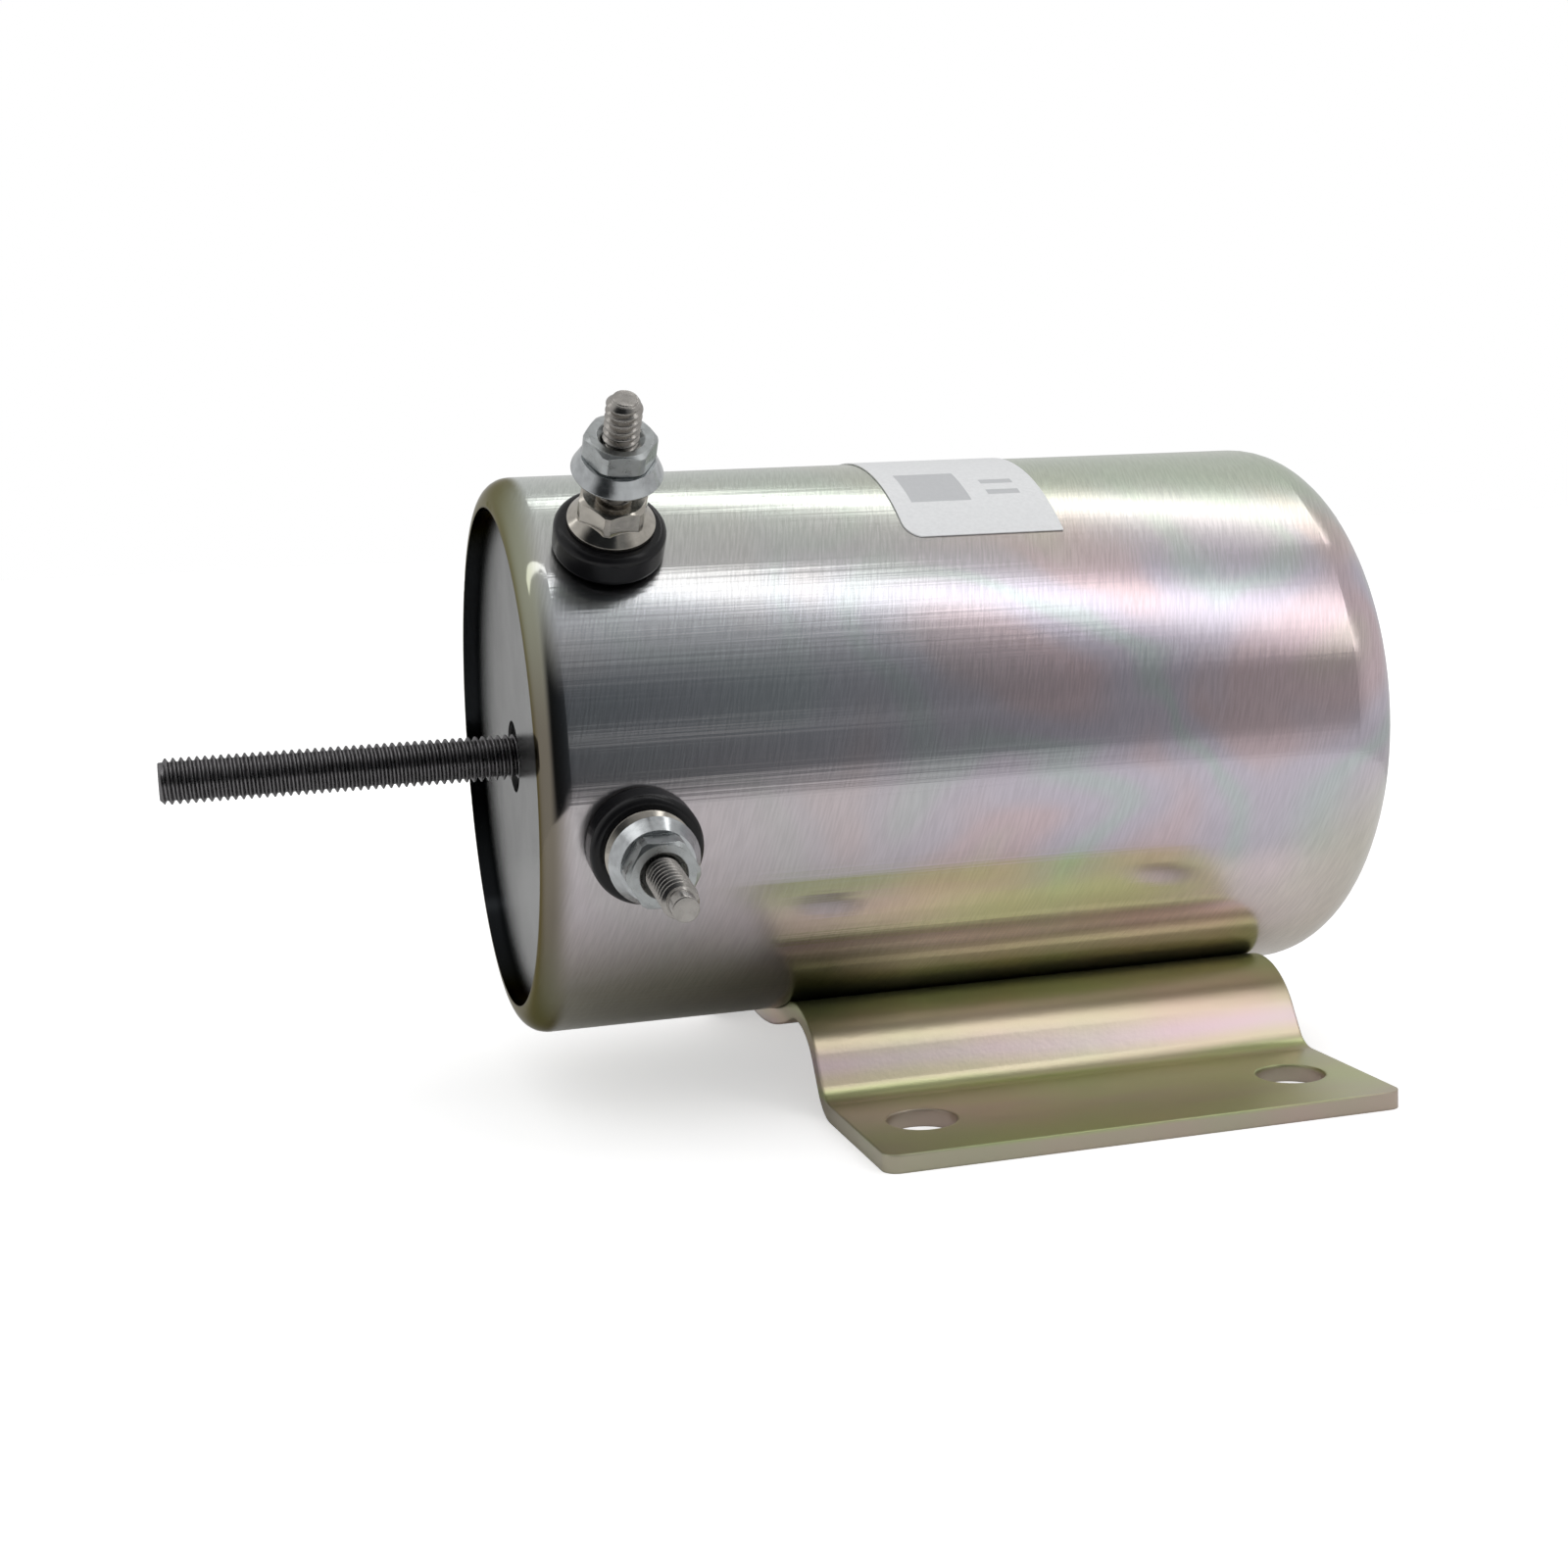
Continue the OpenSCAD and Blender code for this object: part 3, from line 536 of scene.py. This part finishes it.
dress(plain_coat("black_plastic", (0.006, 0.006, 0.007), 0.25, shine=0.3),
      "upper_outer_bush", "lower_outer_bush")
for name, colour, roughness, pieces in (
    ("stop_rubber", (0.03, 0.03, 0.03), 0.6, ("bumper_washer", "rear_pad")),
    ("spool_plastic", (0.80, 0.76, 0.64), 0.4, ("bobbin",)),
    ("winding", (0.55, 0.24, 0.10), 0.3, ("coil",)),
    ("tape", (0.72, 0.58, 0.25), 0.3, ("coil_tape",)),
    ("pressed_paper", (0.58, 0.50, 0.36), 0.7, ("insulating_liner",)),
    ("fibre", (0.26, 0.12, 0.06), 0.5, ("upper_inner_washer", "lower_inner_washer")),
    ("wire_jacket", (0.42, 0.04, 0.03), 0.4, ("upper_lead", "lower_lead")),
):
    dress(plain_coat(name, colour, roughness), *pieces)

# %% [markdown]
# ## The label
# A white paper label sits on the can. A grey square and two short bars are printed on it. A
# printed block is where the place along the can and the place round the can are both close to
# the block's middle, and the Compare operation says so with a 1.

# %% Label
PRINT_GREY = (0.33, 0.34, 0.36)
INK_SHARE = 0.55

label_face, tree, shader = start_material("label_face", Roughness=0.45)
place = separate(tree)
round_can = around(tree, place)
printed = 0.0
for middle_x, middle_round, half_x, half_round in (
    (-9.3, 13.2, 3.3, 3.3), (-2.0, 15.0, 1.8, 0.5), (-2.0, 12.6, 1.8, 0.5),
):
    in_x = maths(tree, "COMPARE", place["X"], middle_x * MM, half_x * MM)
    in_round = maths(tree, "COMPARE", round_can, middle_round * MM, half_round * MM)
    printed = maths(tree, "MAXIMUM", printed, maths(tree, "MULTIPLY", in_x, in_round))
fibres = noise(tree, stretched(tree), 2500.0, detail=2.0)
paper = ramp(tree, fibres, [(0.3, (0.78, 0.79, 0.80)), (0.7, (0.84, 0.85, 0.86))])
ink = maths(tree, "MULTIPLY", printed, INK_SHARE)
plug(tree, shader, Base_Color=mix(tree, ink, paper, PRINT_GREY),
     Normal=bump(tree, fibres, 0.08, 2 * HUNDREDTH))
dress(label_face, "label")

# %% [markdown]
# ## Screw threads
# The rod and both terminal studs are threaded along their length, 32 turns to the inch. A thread
# is one short saw-tooth line, spun round the axis while it climbs by one pitch a turn.
# Neighbouring turns then share their edges and are merged, the ends are cut flat and closed, and
# the last half millimetre is drawn in to a chamfer.

# %% One turn's outline
PITCH = 25.4 / 32 * MM
TURN_STEPS = 36
THREAD_DEPTH = 0.52 * PITCH
CREST_DROP = 0.03 * PITCH


def thread_line(bm, radius, start):
    """One pitch of a thread's outline, from groove to groove."""
    root, flank = radius - THREAD_DEPTH, radius - CREST_DROP
    outline = [
        (root, -0.11), (root, 0.11), (flank, 0.40), (radius, 0.46), (radius, 0.54), (flank, 0.60),
        (root, 0.89),
    ]
    verts = [bm.verts.new((r, 0.0, start + z * PITCH)) for r, z in outline]
    return verts, [bm.edges.new(pair) for pair in zip(verts, verts[1:])]


print("pitch", round(1000 * PITCH, 3), "mm, depth", round(1000 * THREAD_DEPTH, 3), "mm")

# %% A threaded bar
def cut_end(bm, z, outward):
    """Cuts the bar flat at z, removes what lies outward and closes the cut."""
    cut = bmesh.ops.bisect_plane(
        bm, geom=bm.verts[:] + bm.edges[:] + bm.faces[:], dist=1e-8,
        plane_co=(0, 0, z), plane_no=(0, 0, outward), clear_outer=True,
    )
    rim = [g for g in cut["geom_cut"] if isinstance(g, bmesh.types.BMEdge)]
    bmesh.ops.holes_fill(bm, edges=rim, sides=0)


def draw_in(bm, radius, low, high, chamfer):
    """Moves the points near both ends towards the axis, as a chamfer."""
    for v in bm.verts:
        limit = radius - chamfer + min(v.co.z - low, high - v.co.z)
        across = math.hypot(v.co.x, v.co.y)
        if across > limit:
            v.co.x *= limit / across
            v.co.y *= limit / across


def threaded_bar(radius, low, high, chamfer):
    """A bmesh of a threaded bar along Z from low to high."""
    bm = bmesh.new()
    turns = math.ceil((high - low) / PITCH) + 2
    verts, edges = thread_line(bm, radius, low - PITCH)
    bmesh.ops.spin(
        bm, geom=verts + edges, cent=(0, 0, 0), axis=(0, 0, 1), dvec=(0, 0, PITCH / TURN_STEPS),
        angle=2 * math.pi * turns, steps=TURN_STEPS * turns, use_merge=False,
        use_duplicate=False,
    )
    bmesh.ops.remove_doubles(bm, verts=bm.verts, dist=2e-6)
    cut_end(bm, low, -1)
    cut_end(bm, high, 1)
    draw_in(bm, radius, low, high, chamfer)
    bmesh.ops.recalc_face_normals(bm, faces=bm.faces)
    return bm


# %% [markdown]
# A new piece needs a body to ride on, the solid that it stands in for, and a material slot. Its
# object stays at the origin, and its place in the frame is in its mesh.

# %% Handing over a piece
def add_object(bm, name, material):
    """Makes an object of a bmesh, links it to the scene and frees the bmesh."""
    data = bpy.data.meshes.new(name)
    bm.to_mesh(data)
    bm.free()
    data.materials.append(material)
    made = bpy.data.objects.new(name, data)
    bpy.context.scene.collection.objects.link(made)
    return made


def finish_piece(bm, name, material, placement, body, replaced):
    """Places a bmesh in the frame as an object and hands it to its body."""
    bm.transform(placement)
    piece = add_object(bm, name, material)
    piece.data.set_sharp_from_angle(angle=math.radians(30))
    for polygon in piece.data.polygons:
        polygon.use_smooth = True
    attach(piece, body)
    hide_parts(replaced)
    print(name, "has", len(piece.data.polygons), "faces")
    return piece


# %% Plunger rod
ROD_R = 2.415 * MM
ROD_CHAMFER = 0.5 * MM

rod_low, rod_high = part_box("plunger_rod")
along_x = Matrix.Translation((0, 0, AXIS_Z)) @ Matrix.Rotation(math.pi / 2, 4, "Y")
rod = threaded_bar(ROD_R, rod_low.x, rod_high.x, ROD_CHAMFER)
finish_piece(rod, "threaded_rod", rod_steel, along_x, "plunger_body", "plunger_rod")

# %% [markdown]
# Each terminal stud has a hexagon head inside the can. Its outer end is a short plain nose,
# narrower than the thread. The studs stand straight out of the can at two angles from its top.

# %% Stud's head and nose
def hexagon_head(bm, top, thickness, across_flats):
    head = bmesh.ops.create_circle(
        bm, cap_ends=True, segments=6, radius=across_flats / math.sqrt(3),
        matrix=Matrix.Translation((0, 0, top - thickness)),
    )
    face = head["verts"][0].link_faces[0]
    lifted = bmesh.ops.extrude_face_region(bm, geom=[face], use_keep_orig=True)["geom"]
    corners = [g for g in lifted if isinstance(g, bmesh.types.BMVert)]
    bmesh.ops.translate(bm, verts=corners, vec=(0, 0, thickness))
    bmesh.ops.recalc_face_normals(bm, faces=bm.faces)


def nose(bm, radius, low, high):
    """A plain round end with a rounded rim."""
    bmesh.ops.create_cone(
        bm, cap_ends=True, segments=48, radius1=radius, radius2=radius, depth=high - low,
        matrix=Matrix.Translation((0, 0, (low + high) / 2)),
    )
    rim = [e for e in bm.edges if all(abs(v.co.z - high) < 1e-7 for v in e.verts)]
    bmesh.ops.bevel(bm, geom=rim, offset=0.12 * MM, segments=3, affect="EDGES", profile=0.5)


# %% Terminal studs
STUD_R = 1.75 * MM
STUD_CHAMFER = 0.45 * MM
STUD_TIP = CAN_R + 18.5 * MM
HEAD_TOP = 25.27 * MM
HEAD_T = 2.0 * MM
HEAD_FLATS = 5.5 * MM
NOSE_ROOT = 0.5 * MM
THREAD_IN_HEAD = 1.0 * MM
TERMINAL_X = CAN_FRONT + 9.3 * MM

for side, angle, nose_r, nose_l in (
    ("upper", 42.0, 1.22 * MM, 0.25 * MM), ("lower", 101.0, 1.25 * MM, 1.6 * MM),
):
    thread_end = STUD_TIP - nose_l
    stud = threaded_bar(STUD_R, HEAD_TOP - THREAD_IN_HEAD, thread_end, STUD_CHAMFER)
    nose(stud, nose_r, thread_end - NOSE_ROOT, STUD_TIP)
    hexagon_head(stud, HEAD_TOP, HEAD_T, HEAD_FLATS)
    stand = Matrix.Translation((TERMINAL_X, 0, AXIS_Z))
    outward = stand @ Matrix.Rotation(math.radians(angle), 4, "X")
    finish_piece(stud, side + "_threaded_stud", stud_steel, outward, "solenoid_body",
                 side + "_stud")

# %% [markdown]
# ## The return spring
# The plunger pushes the spring together when it slides in, so the spring is a piece of its own. A
# circle of wire is spun round the axis three times over: one closed turn, the open turns, and one
# closed turn again.

# %% Spring's turns
WIRE_R = 0.45 * MM
SPRING_R = 4.35 * MM
OPEN_TURNS = 11
COIL_STEPS = 32
CLOSED_PITCH = 1.02 * 2 * WIRE_R

spring_low, spring_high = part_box("return_spring")
spring_l = spring_high.x - spring_low.x
open_pitch = (spring_l - 2 * WIRE_R - 2 * CLOSED_PITCH) / OPEN_TURNS
print("spring", round(1000 * spring_l, 1), "mm, open pitch", round(1000 * open_pitch, 2), "mm")

# %% Return spring
bm = bmesh.new()
start = Matrix.Translation((SPRING_R, 0, spring_low.x + WIRE_R))
section = bmesh.ops.create_circle(
    bm, cap_ends=False, segments=10, radius=WIRE_R,
    matrix=start @ Matrix.Rotation(math.pi / 2, 4, "X"),
)["verts"]
last = section + list(dict.fromkeys(e for v in section for e in v.link_edges))
for turns, pitch in ((1, CLOSED_PITCH), (OPEN_TURNS, open_pitch), (1, CLOSED_PITCH)):
    last = bmesh.ops.spin(
        bm, geom=last, cent=(0, 0, 0), axis=(0, 0, 1), dvec=(0, 0, pitch / COIL_STEPS),
        angle=2 * math.pi * turns, steps=COIL_STEPS * turns, use_merge=False,
        use_duplicate=False,
    )["geom_last"]
bmesh.ops.holes_fill(bm, edges=[e for e in bm.edges if e.is_boundary], sides=0)
bmesh.ops.recalc_face_normals(bm, faces=bm.faces)
spring = finish_piece(bm, "coiled_spring", spring_wire, along_x, "solenoid_body",
                      "return_spring")
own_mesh(spring)

# %% [markdown]
# ## Floor and light
# The floor is a large pale plane under the feet. It glows a little to the camera alone, so that
# it ends in white and still keeps the object's shadow. The world is white to the camera and to
# reflections, and weaker as light.

# %% Floor
FLOOR_HALF = 3.0
FLOOR_GLOW = 0.50

floor_white, tree, shader = start_material(
    "floor_white", Base_Color=(0.86, 0.86, 0.86, 1.0), Roughness=0.9, Specular_IOR_Level=0.1,
    Emission_Color=(1.0, 1.0, 1.0, 1.0),
)
seen = add(tree, "ShaderNodeLightPath").outputs["Is Camera Ray"]
plug(tree, shader, Emission_Strength=maths(tree, "MULTIPLY", seen, FLOOR_GLOW))

bm = bmesh.new()
bmesh.ops.create_grid(bm, x_segments=1, y_segments=1, size=FLOOR_HALF)
floor = add_object(bm, "floor", floor_white)
print("floor", 2 * FLOOR_HALF, "m wide")

# %% World
AMBIENT = 0.72

world = bpy.data.worlds.new("studio")
bpy.context.scene.world = world
world.use_nodes = True
tree = world.node_tree
tree.nodes.clear()
path = add(tree, "ShaderNodeLightPath").outputs
direct = maths(tree, "MAXIMUM", path["Is Camera Ray"], path["Is Glossy Ray"])
direct = maths(tree, "MAXIMUM", direct, path["Is Transmission Ray"])
strength = remap(tree, direct, 0.0, 1.0, low=AMBIENT)
sky = add(tree, "ShaderNodeBackground", {"Color": (1.0, 1.0, 1.0, 1.0), "Strength": strength})
tree.links.new(sky.outputs[0], add(tree, "ShaderNodeOutputWorld").inputs["Surface"])
print("world gives", AMBIENT, "of white as light")

# %% [markdown]
# Three long strip lamps hang above. The one behind and the one in front draw the two bright
# streaks along the can, and the one on the left stands before the open end. Each is turned so
# that its long side lies along the wanted direction and its face looks at the can. The power is
# worked out from the radiance that the streak should show.

# %% Strip lamps
LAMP_H = 0.7


def strip_lamp(name, lean_x, lean_y, direction, length, width, radiance):
    """A long area lamp LAMP_H above the feet, lying along direction and facing the can."""
    lamp = bpy.data.lights.new(name, "AREA")
    lamp.shape = "RECTANGLE"
    lamp.size, lamp.size_y = length, width
    lamp.energy = radiance * math.pi * length * width
    made = bpy.data.objects.new(name, lamp)
    bpy.context.scene.collection.objects.link(made)
    middle = Vector((lean_x * LAMP_H, lean_y * LAMP_H, LAMP_H))
    back = (middle - Vector((0, 0, AXIS_Z))).normalized()
    side = (Vector(direction) - back * back.dot(Vector(direction))).normalized()
    spin = Matrix((side, back.cross(side), back)).transposed().to_4x4()
    made.matrix_world = Matrix.Translation(middle) @ spin
    print(name, round(lamp.energy, 2), "W")


strip_lamp("back_strip", 0.42, 0.307, (0.494, -0.87, 0), 0.80, 0.085, 2.2)
strip_lamp("front_strip", 0.48, -0.65, (0.665, -0.747, 0), 0.95, 0.12, 2.0)
strip_lamp("left_strip", -0.50, 0.0, (0.93, -0.36, 0), 0.75, 0.08, 1.2)

# %% [markdown]
# ## The tent
# Bare metal looks like whatever stands round it, so a tent of cloth stands round the table, as a
# photographer would hang one. It is half a ball, with a skirt that lies just above the floor and
# leaves a round hole for the object. Only reflections see it. The cloth is pale behind and
# above, dark at the front left, where the room is dark, and has one paler sill in that dark.

# %% Tent's shape
TENT_R = 1.4
SKIRT_R = 0.16
SKIRT_Z = 0.0015

bm = bmesh.new()
bmesh.ops.create_uvsphere(bm, u_segments=48, v_segments=24, radius=TENT_R)
bmesh.ops.bisect_plane(
    bm, geom=bm.verts[:] + bm.edges[:] + bm.faces[:], plane_co=(0, 0, -0.01),
    plane_no=(0, 0, -1), clear_outer=True,
)
hem = bmesh.ops.create_circle(
    bm, segments=64, radius=TENT_R, matrix=Matrix.Translation((0, 0, SKIRT_Z)),
)["verts"]
hem_edges = list(dict.fromkeys(e for v in hem for e in v.link_edges))
skirt = bmesh.ops.extrude_edge_only(bm, edges=hem_edges)["geom"]
inner = [g for g in skirt if isinstance(g, bmesh.types.BMVert)]
bmesh.ops.scale(bm, vec=(SKIRT_R / TENT_R, SKIRT_R / TENT_R, 1.0), verts=inner)
print("tent", TENT_R, "m, hole", SKIRT_R, "m")

# %% Tent's cloth
def grey(value, cool=0.0):
    """A grey, or one that is a little blue."""
    return (value * (1 - cool), value, value * (1 + cool))


tent_cloth, tree, shader = start_material("tent_cloth")
tree.nodes.remove(shader)
coordinates = add(tree, "ShaderNodeTexCoord").outputs["Object"]
unit = add(tree, "ShaderNodeVectorMath", {0: coordinates}, operation="NORMALIZE").outputs[0]
toward = add(tree, "ShaderNodeSeparateXYZ", {0: unit}).outputs
rightward = maths(tree, "MULTIPLY_ADD", toward["X"], 0.5, 0.5)
front = ramp(tree, rightward, [
    (0.0, grey(0.015, 0.1)), (0.48, grey(0.03, 0.1)), (0.56, grey(0.10, 0.08)),
    (0.62, grey(0.16, 0.06)), (0.67, grey(0.22, 0.04)), (0.72, 0.28), (0.77, 0.38),
    (0.82, 0.52), (0.92, 0.62),
])
front = mix(tree, remap(tree, toward["Z"], 0.45, 1.05, soft=True), front, grey(0.60))

# %% Sill, back and skirt
BACK_CLOTH = 0.64
SKIRT_CLOTH = 0.55

sill_height = maths(tree, "COMPARE", toward["Z"], 0.22, 0.035)
sill_length = ramp(tree, rightward, [(0.53, 0.0), (0.56, 1.0), (0.60, 0.8), (0.68, 0.0)])
front = mix(tree, maths(tree, "MULTIPLY", sill_height, sill_length), front, grey(0.40))
rearward = maths(tree, "MULTIPLY_ADD", toward["X"], -0.42, toward["Y"])
cloth = mix(tree, remap(tree, rearward, -0.30, 0.18, soft=True), front, grey(BACK_CLOTH))
length = add(tree, "ShaderNodeVectorMath", {0: coordinates}, operation="LENGTH").outputs["Value"]
outer = maths(tree, "MULTIPLY_ADD", toward["X"], -0.25, length)
cloth = mix(tree, remap(tree, outer, 0.11, 0.34), grey(SKIRT_CLOTH), cloth)
tree.links.new(add(tree, "ShaderNodeEmission", {"Color": cloth}).outputs[0],
               tree.nodes["Material Output"].inputs["Surface"])

tent = add_object(bm, "tent", tent_cloth)
tent.visible_camera = tent.visible_diffuse = tent.visible_shadow = False
tent.visible_transmission = False
print("cloth is", BACK_CLOTH, "of white behind and", SKIRT_CLOTH, "near the feet")
